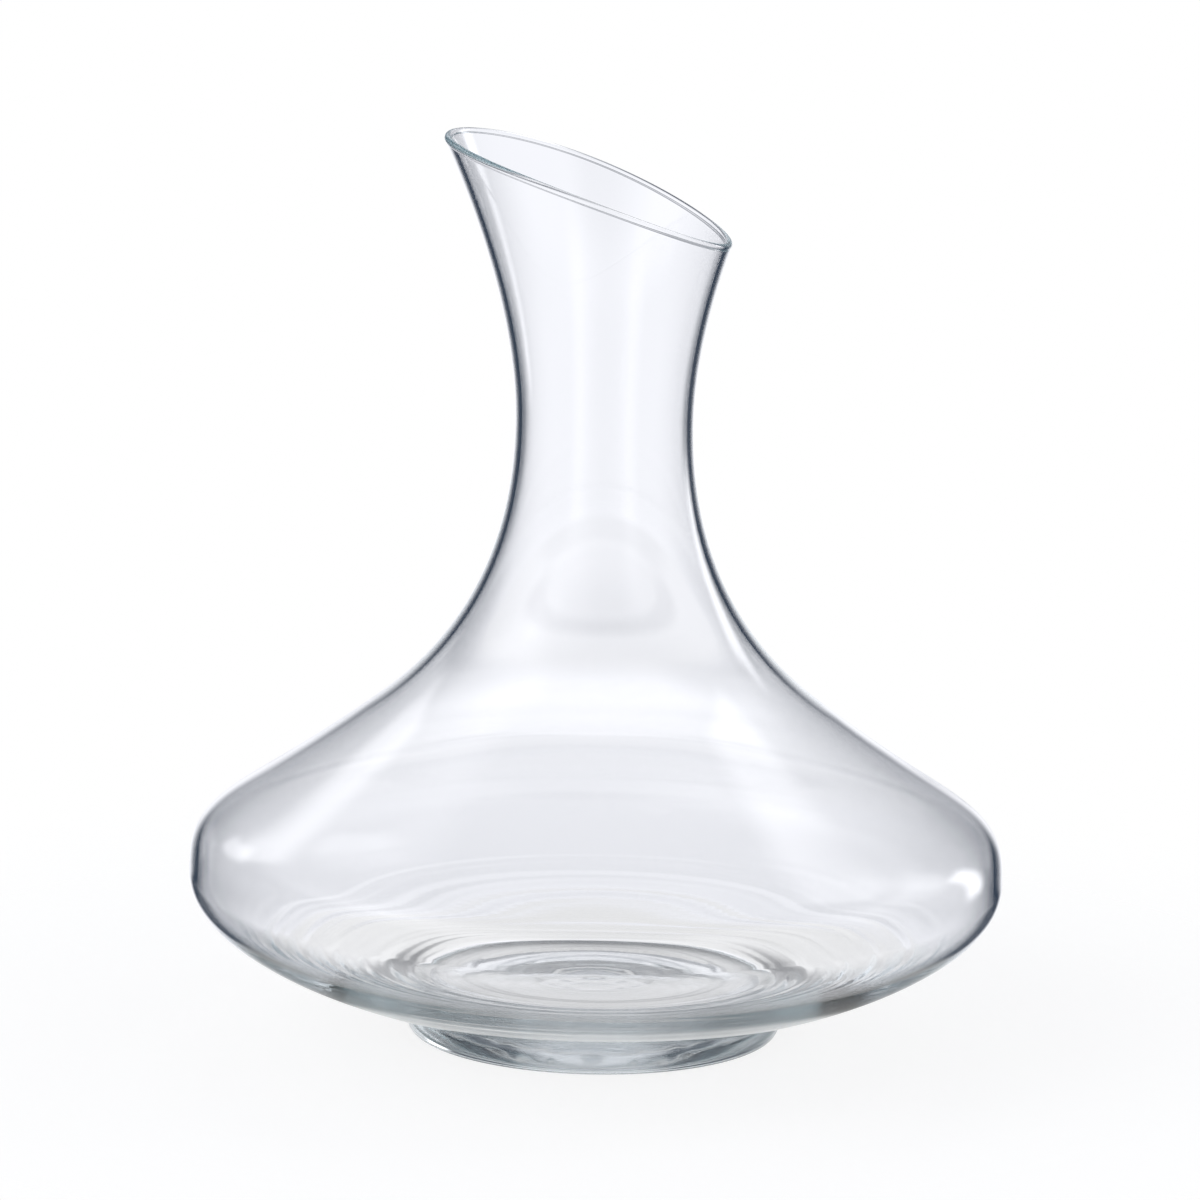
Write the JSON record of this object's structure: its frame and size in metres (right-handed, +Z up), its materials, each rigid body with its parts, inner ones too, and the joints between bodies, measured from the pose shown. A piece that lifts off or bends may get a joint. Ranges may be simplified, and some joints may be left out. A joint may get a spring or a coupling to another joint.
{
  "type": "wine decanter",
  "caption": "Clear blown glass wine decanter: wide bowl on a glass foot, narrow neck and slanted pouring lip.",
  "frame": {"origin": "centre of the foot's resting plane, which is also the centre of the bottom of the bounding box", "axes": "+Z up along the axis of the bowl and neck; the lip is highest at -X and lowest at +X, so it pours towards +X; -Y faces the viewer"},
  "size_m": [0.216, 0.216, 0.2404],
  "materials": {
    "clear_glass": "fire-polished, clear"
  },
  "bodies": {
    "root": {"vessel": "clear_glass", "foot": "clear_glass"}
  },
  "joints": []
}
